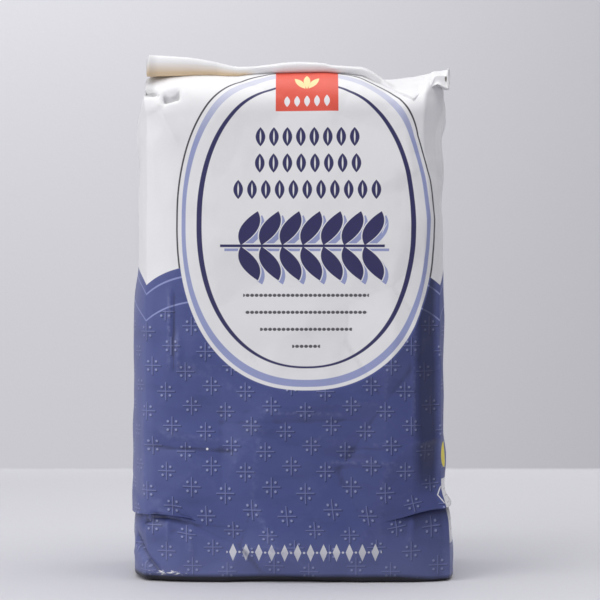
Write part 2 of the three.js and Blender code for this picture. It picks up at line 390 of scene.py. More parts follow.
# Folds in the sheet round the front: start, end, height of the fold and width of its flanks.
FOLDS = [
    ((-76.2, 172), (-76.2, 126), 1.5, 1.8),
    ((-70.8, 146), (-70.8, 124), 1.4, 1.6),
    ((-73.4, 172), (-73.4, 124), -0.5, 2.0),
    ((-48, 93), (40, 95), -0.8, 6.0),
    ((-84, 86), (-30, 82), 0.9, 5.0),
    ((-90, 79), (-36, 76), -1.4, 4.5),
    ((19, 69.5), (57, 69), 1.2, 1.6),
    ((45, 79.5), (59, 80), 1.0, 1.4),
    ((-20, 100), (30, 98), 0.9, 1.8),
    ((20, 76), (72, 80), -0.8, 5.0),
    ((71.6, 158), (70.8, 86), 1.2, 1.5),
    ((86.4, 150), (86.4, 62), 0.9, 1.5),
    ((69, 80), (86, 83), 1.4, 1.8),
    ((-68, 35), (-36, 33), -0.5, 2.0),
    ((-96, 33.5), (-89, 34), -3.4, 2.4),
    ((-103.5, 24), (-82.5, 3.5), -3.2, 1.8),
    ((-89, 37.5), (-77, 36), -1.8, 1.6),
    ((-78, 34), (-78, 22), 1.0, 2.2),
    ((-64, 34), (-64, 12), 1.0, 2.6),
    ((66, 34), (64, 18), 1.1, 3.0),
    ((80, 30), (88, 4), 0.9, 3.0),
    ((40, 32), (30, 8), 0.5, 4.0),
    ((-93, 46), (-93, 100), 0.9, 3.0),
    ((-92, 295), (-83.5, 292), -2.8, 1.5),
    ((-83.5, 292), (-80, 284), -2.2, 1.3),
    ((-84, 286), (-72, 262), 1.4, 3.0),
    ((-90, 270), (-84, 230), 1.0, 3.5),
    ((62, 292), (66, 270), 0.8, 3.0),
    ((66, 270), (72, 240), 0.6, 3.0),
]

# Edges of flaps, where one layer lies over another: start, end, height of the edge, and how far back it goes.
FLAPS = [
    ((-106, 24.5), (-83, 2), 2.2, 14.0),
    ((-83, 293), (-79, 284), 1.8, 6.0),
]

# The dent under the strip's open end: its lower left and upper right, its slope and its depth.
CORNER_DENT = ((-80.5, 287), (-70.5, 294.5), 0.25, 3.6)

# Folds of a narrow side, as for the front, from its middle and as shares of half its width.
SIDE_FOLDS = [
    ((0, 60), (0, 235), 0.5, 5.0),
    ((0, 232), (0, 300), -2.0, 6.0),
    ((0, 234), (-0.9, 290), 1.1, 5.0),
    ((0, 234), (0.9, 290), 1.1, 5.0),
    ((0, 30), (-0.9, 4), 0.6, 3.0),
    ((0, 30), (0.9, 4), 0.6, 3.0),
]


def front_relief(u, v):
    relief = sum(crease(u, v, *line) for line in FOLDS) + sum(flap(u, v, *line) for line in FLAPS)
    return relief + slanted_dent(u, v, *CORNER_DENT)


def side_relief(u, v, middle):
    """The fold up the middle of a narrow side, and those that turn in to its corners above and below."""
    half = SIDE_LENGTH / 2
    return sum(
        crease(u, v, (middle + half * start[0], start[1]), (middle + half * end[0], end[1]), rise, width)
        for start, end, rise, width in SIDE_FOLDS
    )


def wall_relief(u, v):
    in_front = smooth(u, LEFT_CREASE_X, -70) * (1 - smooth(u, 60, RIGHT_CREASE_X))
    size = 0.7 + 1.1 * in_front * (1 - smooth(v, 150, 210))
    relief = crumple(u, v, 36, 1.0) * size + crumple(u, v, 15, 0.28) * (0.4 + 0.6 * smooth(v, 0, 12))
    relief = relief + front_relief(u, v)
    for middle in (RIGHT_CREASE_X + SIDE_LENGTH / 2, LEFT_CREASE_X - SIDE_LENGTH / 2):
        side = np.abs(u - middle) <= SIDE_LENGTH / 2
        relief = relief + np.where(side, side_relief(u, v, middle), 0)
    return relief * smooth(v, EDGE_END - 4, EDGE_START)


def fold_share(relief):
    """How sharply the relief stands out of what is round it, from -1 in a groove to 1 on a ridge."""
    around = relief
    for _ in range(4):
        around = (np.roll(around, 1, 1) + np.roll(around, -1, 1) + 2 * around) / 4
        around[1:-1] = (around[2:] + around[:-2] + 2 * around[1:-1]) / 4
    return np.clip((relief - around) / FOLD_MARK, -1, 1)


def overhang_shade(u, v):
    """Shade under the fold over the block base: all along the sides, and at the front's and back's ends."""
    behind = u > RIGHT_CREASE_X + SIDE_LENGTH
    in_front = np.maximum(smooth(-u, 58, 78), smooth(u, 50, 72))
    ends = np.where(behind, smooth(abs(u - BACK_MIDDLE), 58, 90), in_front)
    below = BLOCK_HEIGHT - v
    reach = 5 + 4 * smooth(u, 40, 70)
    return OVERHANG_SHADE * ends * np.where(below > 0, np.exp(-below / reach), 0)


# The sheet's grid


def wall_rows():
    """Heights of the rows along the paper: close together round the base edge and at the fold above it."""
    def even(low, high, step):
        return np.linspace(low, high, math.ceil((high - low) / step), endpoint=False)

    rows = [
        even(BASE_END, EDGE_END, 2.0),
        even(EDGE_END, EDGE_START, 0.6),
        even(EDGE_START, BLOCK_HEIGHT - PINCH_STEP, 1.0),
        even(BLOCK_HEIGHT - PINCH_STEP, BLOCK_HEIGHT + PINCH_STEP, PINCH_STEP / 2),
    ]
    low = BLOCK_HEIGHT + PINCH_STEP
    for high, step in WALL_BANDS:
        rows.append(even(low, high, step))
        low = high
    return np.concatenate([*rows, np.linspace(SHOULDER_START, SHOULDER_END, SHOULDER_ROWS + 1)])


def across_places(steps):
    """Places across a wall from -1 to 1, closer together towards its corners."""
    even = np.linspace(-1, 1, steps + 1)
    return even * (1 + CROWDING - CROWDING * even**2)


def paper_heights(place, h):
    """Heights along the paper. Over the shoulder they follow the wall's own length."""
    steps = np.linalg.norm(np.diff(place, axis=0, prepend=place[:1]), axis=-1)
    return np.minimum(h, SHOULDER_START) + np.cumsum(np.where(h > SHOULDER_START, steps, 0), axis=0)


def walls():
    """Points and paper places of the four walls, row by row, once round from the back's left corner."""
    h = wall_rows()[:, None]
    across = across_places(FRONT_STEPS)[None, :]
    along = across_places(SIDE_STEPS)[None, :]
    grid_front = np.broadcast_to(across, (len(h), across.size))
    grid_side = np.broadcast_to(along, (len(h), along.size))
    left = side_panel(-1, grid_side[:, ::-1], h)
    front = front_panel(grid_front, h)
    right = side_panel(1, grid_side, h)
    back = back_panel(grid_front[:, ::-1], h)
    place = np.concatenate([left[:, :-1], front[:, :-1], right[:, :-1], back], axis=1)
    u = np.concatenate([
        LEFT_CREASE_X - SIDE_LENGTH * (along[0, ::-1][:-1] + 1) / 2,
        mix(LEFT_CREASE_X, RIGHT_CREASE_X, (across[0, :-1] + 1) / 2),
        RIGHT_CREASE_X + SIDE_LENGTH * (along[0, :-1] + 1) / 2,
        RIGHT_CREASE_X + SIDE_LENGTH + FRONT_WIDTH * (across[0] + 1) / 2,
    ])
    u = np.broadcast_to(u[None, :], place.shape[:2])
    return place, u, paper_heights(place, h)


def outward(place):
    """Unit normals of a grid that closes on itself along its rows."""
    along = np.roll(place[:, :-1], -1, axis=1) - np.roll(place[:, :-1], 1, axis=1)
    up = np.gradient(place[:, :-1], axis=0)
    normal = np.cross(along, up)
    normal /= np.linalg.norm(normal, axis=-1, keepdims=True) + 1e-12
    return np.concatenate([normal, normal[:, :1]], axis=1)


def blend_patch(front, right, back, left):
    """A patch over a closed loop, blended from its four sides, which run towards +X or towards the back."""
    a = np.linspace(0, 1, len(front))[None, :, None]
    b = np.linspace(0, 1, len(left))[:, None, None]
    across = left[:, None] * (1 - a) + right[:, None] * a
    along = front[None] * (1 - b) + back[None] * b
    low = front[0] * (1 - a) + front[-1] * a
    high = back[0] * (1 - a) + back[-1] * a
    return across + along - (low * (1 - b) + high * b)


def loop_sides(row):
    """The four sides of one row of the walls."""
    front_start = SIDE_STEPS
    right_start = front_start + FRONT_STEPS
    back_start = right_start + SIDE_STEPS
    left = row[: front_start + 1][::-1]
    front = row[front_start : right_start + 1]
    right = row[right_start : back_start + 1]
    back = row[back_start:][::-1]
    return front, right, back, left


def cap_patch(place):
    """The top under the closing strip, and its places on the paper."""
    cap = blend_patch(*loop_sides(place[-1]))
    x = across_places(FRONT_STEPS)[None, :]
    y = across_places(SIDE_STEPS)[:, None]
    cap[..., 2] += DOME * (1 - x**4) * (1 - y * y)
    paper_x = mix(LEFT_CREASE_X, RIGHT_CREASE_X, (x + 1) / 2) + 0 * y
    paper_v = SHOULDER_START + SHOULDER_ARC + (1 - np.abs(y)) * CAP_PAPER_REACH + 0 * x
    return cap, np.where(y <= 0, paper_x, BACK_MIDDLE - paper_x), paper_v


def base_patch(place):
    """The underside, hollow by a little, with the steps of its folded flaps, and its places on the paper."""
    base = blend_patch(*loop_sides(place[0]))
    x = across_places(FRONT_STEPS)[None, :]
    y = across_places(SIDE_STEPS)[:, None]
    inner = np.minimum(smooth(1 - np.abs(x), 0, 0.1), smooth(1 - np.abs(y), 0, 0.14))
    lapped = BASE_FLAP * smooth(np.abs(y) - 0.05, 0, 0.03)
    lapped = lapped + BASE_SIDE_FLAP * smooth(np.abs(x) - 0.62 + 0.3 * np.abs(y), 0, 0.02)
    base[..., 2] = BASE_Z + inner * (BASE_HOLLOW - lapped)
    return base, base[..., 0], np.full(base.shape[:2], BASE_PAPER_V)


def add_grid(mesh_bm, uv_layer, place, u, v, flip=False, fold=None):
    """Adds a grid of points as faces, with the paper's places, in metres, as its map."""
    verts = [[mesh_bm.verts.new(p) for p in row] for row in (place - MIDDLE) * MM]
    if fold is not None:
        fold_layer = mesh_bm.verts.layers.float["fold"]
        for row, shares in zip(verts, fold):
            for vert, share in zip(row, shares):
                vert[fold_layer] = share
    for i in range(len(verts) - 1):
        for j in range(len(verts[0]) - 1):
            ring = [(i, j), (i, j + 1), (i + 1, j + 1), (i + 1, j)]
            if flip:
                ring.reverse()
            face = mesh_bm.faces.new([verts[a][b] for a, b in ring])
            face.smooth = True
            for loop, (a, b) in zip(face.loops, ring):
                loop[uv_layer].uv = (u[a, b] * MM, v[a, b] * MM)


def make_object(name, mesh_bm, material):
    mesh = bpy.data.meshes.new(name)
    mesh_bm.to_mesh(mesh)
    mesh_bm.free()
    mesh.materials.append(material)
    piece = bpy.data.objects.new(name, mesh)
    bpy.context.scene.collection.objects.link(piece)
    return piece


def make_bag(paper):
    place, u, v = walls()
    relief = wall_relief(u, v)
    relief[:, -1] = relief[:, 0]
    # Besides the folds, the fold attribute carries the painted shade under the fold over the block base.
    fold = np.clip(fold_share(relief) - overhang_shade(u, v), -1, 1)
    place = place + outward(place) * relief[..., None]
    place[:, -1] = place[:, 0]
    place[0, :, 2] = BASE_Z
    cap, cap_u, cap_v = cap_patch(place)
    base, base_u, base_v = base_patch(place)
    mesh_bm = bmesh.new()
    uv_layer = mesh_bm.loops.layers.uv.new("paper")
    mesh_bm.verts.layers.float.new("fold")
    add_grid(mesh_bm, uv_layer, place, u, v, fold=fold)
    add_grid(mesh_bm, uv_layer, cap, cap_u, cap_v)
    add_grid(mesh_bm, uv_layer, base, base_u, base_v, flip=True)
    bmesh.ops.remove_doubles(mesh_bm, verts=mesh_bm.verts, dist=1e-6)
    return make_object("paper_bag", mesh_bm, paper)


def height_over(bag, x, y):
    """Height of the bag's top under each place, in mm."""
    tree = BVHTree.FromObject(bag, bpy.context.evaluated_depsgraph_get())
    heights = np.zeros(x.shape)
    for at in np.ndindex(x.shape):
        inside_x = min(max(x[at], LEFT_CREASE_X + STRIP_BED_INSET), RIGHT_CREASE_X - STRIP_BED_INSET)
        spot = Vector(((inside_x - MIDDLE[0]) * MM, (y[at] - MIDDLE[1]) * MM, 1))
        heights[at] = tree.ray_cast(spot, Vector((0, 0, -1)))[0].z / MM + BASE_Z
    return heights


def strip_points(bag):
    """Points once round the strip's section, and the places along and round it.

    A section goes forward over the top, down the front fold, and back under it.
    """
    around = np.linspace(0, 1, STRIP_ROWS)[:, None]
    share = np.interp(around, [0, STRIP_FACE_START, STRIP_FACE_END, 1], [0, 1, 1, 0])
    down = np.clip((around - STRIP_FACE_START) / (STRIP_FACE_END - STRIP_FACE_START), 0, 1)
    along = np.linspace(0, 1, STRIP_COLUMNS)[None, :]
    x = mix(STRIP_LEFT_X, STRIP_RIGHT_X - STRIP_RIGHT_CUT * share, along)
    edge_y = np.interp(x, STRIP_EDGE_PLACES, STRIP_EDGES)
    edge_y = edge_y + STRIP_END_TURN * smooth(x, STRIP_EAR_START, STRIP_RIGHT_X)
    lift = np.interp(x, STRIP_LIFT_PLACES, STRIP_LIFTS)
    lift = (lift + np.roll(lift, 1, axis=1) + np.roll(lift, -1, axis=1)) / 3
    undercut = np.interp(x, STRIP_UNDERCUT_PLACES, STRIP_UNDERCUTS) * down**2
    y = mix(STRIP_HINGE_Y, edge_y, share) - STRIP_FACE_BULGE * lift * np.sin(math.pi * down) + undercut
    bed = height_over(bag, x, y)
    ear = STRIP_EAR_HEIGHT * smooth(x, STRIP_EAR_START, STRIP_EAR_START + 5)
    tip = mix(np.interp(x, STRIP_TIP_PLACES, STRIP_TIPS), ear, share)
    pressed = np.interp(x, STRIP_PRESSED_PLACES, STRIP_PRESSED_SHARES) * share
    flat = 1 - STRIP_PRESSED_LOSS * pressed
    high = bed + (STRIP_CLEARANCE + STRIP_SHEET * 2) * flat + lift * share**1.25 + tip
    low = bed + STRIP_CLEARANCE - pressed + STRIP_EAR_SLANT * hill(x, 86, 4)
    low = np.minimum(low, high - STRIP_LEAST_HEIGHT)
    face = mix(high, mix(low, high, (1 - share) ** 8), smooth(down, 0, 1))
    z = np.where(around <= STRIP_FACE_START, high, face)
    relief = crumple(x + 500 * (around > 0.5), y, 13, 0.28) * smooth(share, 0, 0.15)
    relief = relief * (1 - smooth(down, 0.2, 1)) * flat
    return points(x, y, z + relief), x, around * STRIP_ROUND + 0 * x


def make_strip(bag, paper):
    """The closing strip: a flattened tube that lies on the bag, of paper with its own thickness."""
    mesh_bm = bmesh.new()
    uv_layer = mesh_bm.loops.layers.uv.new("paper")
    add_grid(mesh_bm, uv_layer, *strip_points(bag))
    strip = make_object("closing_strip", mesh_bm, paper)
    thick = strip.modifiers.new("thick", "SOLIDIFY")
    thick.thickness = STRIP_SHEET * MM
    thick.offset = -1
    bpy.context.view_layer.objects.active = strip
    bpy.ops.object.modifier_apply(modifier=thick.name)
    return strip


# Print and wear of the paper


class Value:
    """A number in a material's nodes. Plain arithmetic on it adds the nodes that work it out."""

    def __init__(self, tree, source):
        self.tree = tree
        self.source = source

    def math(self, operation, *others):
        node = self.tree.nodes.new("ShaderNodeMath")
        node.operation = operation
        for socket, value in zip(node.inputs, (self, *others)):
            if isinstance(value, Value):
                self.tree.links.new(value.source, socket)
            else:
                socket.default_value = value
        return Value(self.tree, node.outputs[0])

    def __add__(self, other):
        return self.math("ADD", other)

    def __sub__(self, other):
        return self.math("SUBTRACT", other)

    def __rsub__(self, other):
        return self * -1 + other

    def __mul__(self, other):
        return self.math("MULTIPLY", other)

    def __truediv__(self, other):
        return self.math("DIVIDE", other)

    def __pow__(self, other):
        return self.math("POWER", other)

    def __abs__(self):
        return self.math("ABSOLUTE")

    def least(self, other):
        return self.math("MINIMUM", other)

    def most(self, other):
        return self.math("MAXIMUM", other)

    def wrap(self, period):
        """The distance to the nearest whole number of periods, with its sign."""
        return self.math("WRAP", -period / 2, period / 2)

    def clamp(self):
        return self.most(0.0).least(1.0)


def inked(outside, soft=0.3):
    """Share of ink for a distance outside a shape: 1 inside, 0 outside, in an edge that is soft mm wide."""
    return (0.5 - outside / soft).clamp()


def box_distance(x, y, half_x, half_y):
    return (abs(x) - half_x).most(abs(y) - half_y)


def round_distance(x, y, radius):
    return (x**2 + y**2) ** 0.5 - radius


def oval_inked(x, y, half_x, half_y, power):
    """Ink inside an oval that is a little squarer than an ellipse, whose power is 2."""
    reach = ((abs(x) / half_x) ** power + (abs(y) / half_y) ** power) ** (1 / power)
    return inked((reach - 1) * half_x)


def grain_distance(x, y, half_wide, half_tall):
    """A pointed grain that stands upright."""
    return abs(x) - (1 - (y / half_tall) ** 2) * half_wide


class Paper:
    """The coloured sheet. Each ink goes over what is there."""

    def __init__(self, tree, color):
        self.tree = tree
        self.color = color

    def lay(self, color, share):
        node = self.tree.nodes.new("ShaderNodeMix")
        node.data_type = "RGBA"
        self.tree.links.new(share.source, node.inputs["Factor"])
        below, above = (s for s in node.inputs if s.type == "RGBA")
        if isinstance(self.color, tuple):
            below.default_value = (*self.color, 1)
        else:
            self.tree.links.new(self.color, below)
        above.default_value = (*color, 1)
        self.color = next(s for s in node.outputs if s.type == "RGBA")


# Colours, in linear light.
WHITE = (0.80, 0.795, 0.80)
# The inner sheet's tan, darkened by painted shade.
LINING_IN_SHADE = (0.70, 0.54, 0.35)
BLUE = (0.072, 0.092, 0.262)
LAVENDER = (0.27, 0.30, 0.56)
SKY = (0.31, 0.345, 0.57)
INDIGO = (0.036, 0.034, 0.115)
SOOT = (0.05, 0.048, 0.06)
GREY = (0.10, 0.098, 0.105)
RED = (0.74, 0.105, 0.07)
CREAM = (0.90, 0.72, 0.35)
YELLOW = (0.86, 0.72, 0.04)
# Ink worn light, and a painted sheen.
WORN_AND_SHEEN = (0.19, 0.21, 0.40)
SHADE = (0.03, 0.032, 0.07)
DEEP = (0.012, 0.015, 0.055)
# Painted shade in the mouth of the strip's ear.
MOUTH_SHADE = (0.13, 0.115, 0.10)
MIST = (0.42, 0.46, 0.72)
BASE_SHADE = (0.012, 0.012, 0.02)

PAPER_ROUGHNESS = 0.42
PAPER_SPECULAR = 0.36
STRIP_ROUGHNESS = 0.5
# Cockles and fibres of the paper: noise scale and height in metres.
PAPER_BUMPS = [(90, 0.0005), (900, 0.00004)]

# Places in the print, in mm along the paper, from the middle of the panel and up from the base.
OVAL_X = 7.4
TAB_X = 7.8
TAB_HALF_WIDTH = 18.9
TAB_LOW = 280.8
TAB_HIGH = 324.0
OVAL_V = 213.0
# Each oval over the last one: colour, half its width, half its height, and its power.
OVALS = [
    (SOOT, 78.3, 101.3, 2.3),
    (WHITE, 77.3, 100.2, 2.3),
    (SKY, 75.0, 98.1, 2.3),
    (WHITE, 72.6, 93.9, 2.25),
    (INDIGO, 66.0, 87.0, 2.2),
    (WHITE, 62.9, 85.8, 2.2),
]
# Painted light on the light blue ring: how far above the oval's middle it starts, and over how far it grows.
RING_FADE_START = 49.0
RING_FADE_REACH = 36.0
FIELD_LOW = 176.0
FIELD_RISE = 14.0
FIELD_BEND = 16.0
# Lines inside the field's edge: how far below it, and half their width.
BORDER_LINES = [(5.6, 0.55), (21.5, 0.5)]
MOTIF_STEP = 16.97
MOTIF_CHAINS = [(-28.7, -117.7), (-40.7, -100.9)]
MOTIF_CHAIN_GAP = 2 * MOTIF_STEP
# Rows of grains: middle, height, how many, and how far apart.
GRAIN_ROWS = [(8.1, 265.3, 8, 8.1), (8.4, 249.4, 8, 8.3), (7.9, 233.4, 11, 8.3)]
WHEAT_X = 5.0
WHEAT_V = 199.5
WHEAT_SHADOW = (2.6, -2.4)
# Rows of beads: height, and half the row's length.
BEAD_ROWS = [(169.8, 37.8), (159.6, 36.6), (149.4, 27.6), (139.2, 8.4)]
BEAD_X = 7.2
FOOT_ROW_X = 3.9
FOOT_ROW_V = 16.2
FOOT_ROW_COUNT = 12
FOOT_ROW_STEP = 7.6
SPOT_PLACE = (8.0, 72.5)
SPOT_RADIUS = 8.0
BASE_SHADE_LEFT = 1.7
BASE_SHADE_RIGHT = 0.0
BASE_SHADE_SOFT = 2.6
BASE_LIGHTER_HEIGHT = 34.0
LEFT_SHEEN_EDGE = -85.0
TOP_LEFT_U = -91.0
FACET_LEFT = 69.0
FACET_RIGHT = 83.0
# Middle round the bag and up it, and half the width and height.
SCUFF_BOX = (-78.0, 2.9, 9.0, 1.7)
# Place round the bag and up it, and the radius.
SPECK = (-53.5, 77.5, 0.7)
# From the right crease: near edge, far edge, low edge and high edge.
PANEL_BOX = (1.0, 62.0, 18.6, 57.6)
PANEL_LINE_STEP = 5.0
# Middle height, half height, and how far past the crease it comes to its point.
TEAR = (46.5, 6.4, 3.0)

# Shapes of the print: half widths and half heights of its small marks, in mm.
MOTIF_ARM = (0.27, 5.4)
MOTIF_DOT_PLACE = 2.5
MOTIF_DOT_RADIUS = 0.72
WHEAT_PITCH = 12.4
WHEAT_LEAN = 0.5
WHEAT_PAIRS = 7
WHEAT_GRAIN_MIDDLE = 10.6
WHEAT_GRAIN = (5.4, 10.2)
WHEAT_STEM_REACH = 6.0
WHEAT_STEM_HALF = 0.8
ROW_GRAIN = (2.9, 5.8)
ROW_GROOVE = (0.5, 3.9)
TAB_ROW_V = 287.2
TAB_ROW_STEP = 6.0
TAB_ROW_HALF = 15.0
TAB_GRAIN = (1.7, 3.6)
FAN_V = 295.5
FAN_GRAIN = (2.0, 6.0)
FAN_SIDE_GRAIN = (1.9, 5.4)
FAN_SIDE_PLACE = (0.6, 6.2)
BEAD_STEP = 2.7
BEAD_RADIUS = 0.95
LOZENGE_SLOPE = 2.6
LOZENGE_HALF = 5.8
FOOT_DOT_RADIUS = 0.7


def motif(x, v):
    """Distances outside the lines and the dots of small crosses, which stand in slanting chains."""
    root_half = math.sqrt(0.5)
    along = (x + v) * -root_half
    across = (x - v) * root_half
    arms, dots = [], []
    for first_along, first_across in MOTIF_CHAINS:
        a = (along - first_along).wrap(MOTIF_STEP)
        c = (across - first_across).wrap(MOTIF_CHAIN_GAP)
        px = abs((c - a) * root_half)
        py = abs((c + a) * root_half)
        arms.append(box_distance(px, py, *MOTIF_ARM).least(box_distance(px, py, *MOTIF_ARM[::-1])))
        dots.append(round_distance(px - MOTIF_DOT_PLACE, py - MOTIF_DOT_PLACE, MOTIF_DOT_RADIUS))
    return arms[0].least(arms[1]), dots[0].least(dots[1])


def field_top(x):
    """Height of the blue field's edge: lowest at each corner of the bag, and rising into each wall."""
    from_corner = abs(abs(x) - FRONT_WIDTH / 2)
    return (1 - (from_corner / -FIELD_BEND).math("EXPONENT")) * FIELD_RISE + FIELD_LOW


def wheat_ear(x, y):
    """Outside distance of a wheat ear that lies along X: slanting pairs of grains on a stem."""
    half_length = WHEAT_PAIRS * WHEAT_PITCH / 2
    reach = abs(y)
    slanted = x - reach * WHEAT_LEAN
    grain = grain_distance(slanted.wrap(WHEAT_PITCH), reach - WHEAT_GRAIN_MIDDLE, *WHEAT_GRAIN)
    stem = box_distance(x, y, half_length + WHEAT_STEM_REACH, WHEAT_STEM_HALF)
    return grain.most(abs(slanted) - half_length).least(stem)


def grain_row(x, y, count, step):
    """A row of upright grains, each with the groove that a grain has."""
    inside_row = abs(x) - count * step / 2
    nearest = (x - (0 if count % 2 else step / 2)).wrap(step)
    grain = grain_distance(nearest, y, *ROW_GRAIN)
    groove = grain_distance(nearest, y, *ROW_GROOVE)
    return grain.most(groove * -1).most(inside_row)


def lay_tab(paper, x, v):
    """The red tab at the top of the oval, with three grains in a fan over a short row of them."""
    tab = box_distance(x, v - (TAB_LOW + TAB_HIGH) / 2, TAB_HALF_WIDTH, (TAB_HIGH - TAB_LOW) / 2)
    paper.lay(RED, inked(tab))
    row = grain_distance(x.wrap(TAB_ROW_STEP), v - TAB_ROW_V, *TAB_GRAIN).most(abs(x) - TAB_ROW_HALF)
    paper.lay(WHITE, inked(row))
    y = v - FAN_V
    upright = grain_distance(x, y - FAN_GRAIN[1], *FAN_GRAIN)
    leaning_x = abs(x) * 0.8 - y * 0.6 - FAN_SIDE_PLACE[0]
    leaning_y = y * 0.8 + abs(x) * 0.6 - FAN_SIDE_PLACE[1]
    paper.lay(CREAM, inked(upright.least(grain_distance(leaning_x, leaning_y, *FAN_SIDE_GRAIN))))


def lay_oval_marks(paper, x, v):
    """The marks on the oval: rows of grains, a wheat ear and rows of beads."""
    for middle, height, count, step in GRAIN_ROWS:
        paper.lay(INDIGO, inked(grain_row(x - middle, v - height, count, step)))
    dx, dy = WHEAT_SHADOW
    paper.lay(SKY, inked(wheat_ear(x - (WHEAT_X + dx), v - (WHEAT_V + dy))))
    paper.lay(WHITE, inked(wheat_ear(x - WHEAT_X, v - WHEAT_V) - 0.7))
    paper.lay(INDIGO, inked(wheat_ear(x - WHEAT_X, v - WHEAT_V)))
    for height, half in BEAD_ROWS:
        bead = round_distance((x - BEAD_X).wrap(BEAD_STEP) * 0.8, v - height, BEAD_RADIUS)
        paper.lay(GREY, inked(bead.most(abs(x - BEAD_X) - half)))


def lay_foot_row(paper, x, v):
    """White lozenges with dots between them, near the base."""
    from_middle = x - FOOT_ROW_X
    y = abs(v - FOOT_ROW_V)
    step = FOOT_ROW_STEP
    lozenge = abs((from_middle - step / 2).wrap(step)) * LOZENGE_SLOPE + y - LOZENGE_HALF
    dots = round_distance(from_middle.wrap(step), y, FOOT_DOT_RADIUS)
    row = lozenge.least(dots).most(abs(from_middle) - FOOT_ROW_COUNT * step / 2)
    paper.lay(WHITE, inked(row))


def lay_side(paper, from_crease, v):
    """The yellow spot and the plain white box with lines on the right-hand side, and the box's torn edge."""
    spot_x, spot_v = SPOT_PLACE
    paper.lay(YELLOW, inked(round_distance(from_crease - spot_x, v - spot_v, SPOT_RADIUS)))
    near, far, low, high = PANEL_BOX
    middle_x = from_crease - (near + far) / 2
    box = box_distance(middle_x, v - (low + high) / 2, (far - near) / 2, (high - low) / 2)
    paper.lay(WHITE, inked(box))
    lines = (abs(v.wrap(PANEL_LINE_STEP)) - 0.35).most(box + 4)
    paper.lay(GREY, inked(lines) * 0.4)
    tear_v, tear_half, tear_reach = TEAR
    tear = abs(from_crease + (1 - abs(v - tear_v) / tear_half) * tear_reach) - 0.4
    paper.lay(WHITE, inked(tear.most(abs(v - tear_v) - tear_half)))


def lay_field(paper, u, v, below, field):
    """The blue field with its two lines, and the motif with a shade beside it as if it were embossed."""
    paper.lay(BLUE, field)
    for offset, half in BORDER_LINES:
        paper.lay(LAVENDER, inked(abs(below - offset) - half) * field)
    inner_field = inked((BORDER_LINES[-1][0] + 1) - below)
    under_arms, under_dots = motif(u - 0.5, v + 0.5)
    paper.lay(DEEP, inked(under_arms.least(under_dots) - 0.25) * inner_field * 0.5)
    arms, dots = motif(u, v)
    paper.lay(LAVENDER, inked(arms) * inner_field * 0.6)
    paper.lay(MIST, inked(dots) * inner_field * 0.62)


def lay_ovals(paper, x, y, field):
    """The oval's rings. The outermost shows only outside the field, and painted light fades the light blue
    one upwards.
    """
    for color, half_x, half_y, power in OVALS:
        share = oval_inked(x, y, half_x, half_y, power)
        paper.lay(color, share * (1 - field) if color == SOOT else share)
        if color == SKY:
            # Painted light, stronger towards the ring's top.
            paper.lay(WHITE, share * ((y - RING_FADE_START) / RING_FADE_REACH).clamp() * 0.6)


def front_print(tree, u, v):
    """All of the print, which the back repeats."""
    paper = Paper(tree, WHITE)
    half_round = SIDE_LENGTH + FRONT_WIDTH
    x = (u - (LEFT_CREASE_X + RIGHT_CREASE_X) / 2).wrap(half_round)
    oval_x = x - OVAL_X
    oval_y = v - OVAL_V
    below = field_top(x) - v
    field = inked(below * -1)
    lay_field(paper, u, v, below, field)
    lay_ovals(paper, oval_x, oval_y, field)
    lay_oval_marks(paper, x, v)
    lay_tab(paper, x - TAB_X, v)
    lay_foot_row(paper, x, v)
    lay_side(paper, u - RIGHT_CREASE_X, v)
    open_field = field * (1 - oval_inked(oval_x, oval_y, *OVALS[0][1:]))
    fold = lay_wear_and_painted_light(paper, tree, u, v, open_field)
    lay_crease_shade(paper, fold, u, v, open_field)
    lay_base_marks(paper, tree, u, v)
    return paper


def noise(tree, u, v, size):
    """Cloudy noise over the sheet, about 0.3 to 0.7, in patches of about this size in mm."""
    place = tree.nodes.new("ShaderNodeCombineXYZ")
    tree.links.new((u / size).source, place.inputs["X"])
    tree.links.new((v / size).source, place.inputs["Y"])
    cloud = tree.nodes.new("ShaderNodeTexNoise")
    cloud.inputs["Scale"].default_value = 1.0
    cloud.inputs["Detail"].default_value = 4.0
    tree.links.new(place.outputs[0], cloud.inputs["Vector"])
    return Value(tree, cloud.outputs[0])


def lay_wear_and_painted_light(paper, tree, u, v, field):
    """Ink worn off the field's ridges, painted shade in the grooves and under the fold over the block base, a
    painted sheen on the left side, and the field lighter towards the base. Returns the folds.
    """
    attribute = tree.nodes.new("ShaderNodeAttribute")
    attribute.attribute_name = "fold"
    fold = Value(tree, attribute.outputs["Fac"])
    patches = noise(tree, u, v, 3.0)
    paper.lay(WORN_AND_SHEEN, fold.clamp() * field * ((patches - 0.4) * 4).clamp() * 0.55)
    # Painted shade in the grooves, and under the fold over the block base, which the fold attribute carries.
    paper.lay(SHADE, ((fold * -1 - 0.25) * 1.3).clamp() * (field * 0.6 + 0.16))
    paper.lay(WORN_AND_SHEEN, ((noise(tree, u, v, 40.0) - 0.5) * 2).clamp() * field * 0.22)
    paper.lay(DEEP, ((noise(tree, u / 3, v, 13.0) - 0.5) * 4).clamp() * field * 0.26)
    # A painted sheen on the left side, and the field lighter towards the base.
    left_sheen = ((LEFT_SHEEN_EDGE - u) / 8).clamp() * ((u + 150) / 45).clamp() * (v / 60).clamp()
    lighter_low = (1 - v / BASE_LIGHTER_HEIGHT).clamp()
    paper.lay(WORN_AND_SHEEN, (lighter_low * 0.4 + left_sheen * 0.34) * field)
    return fold


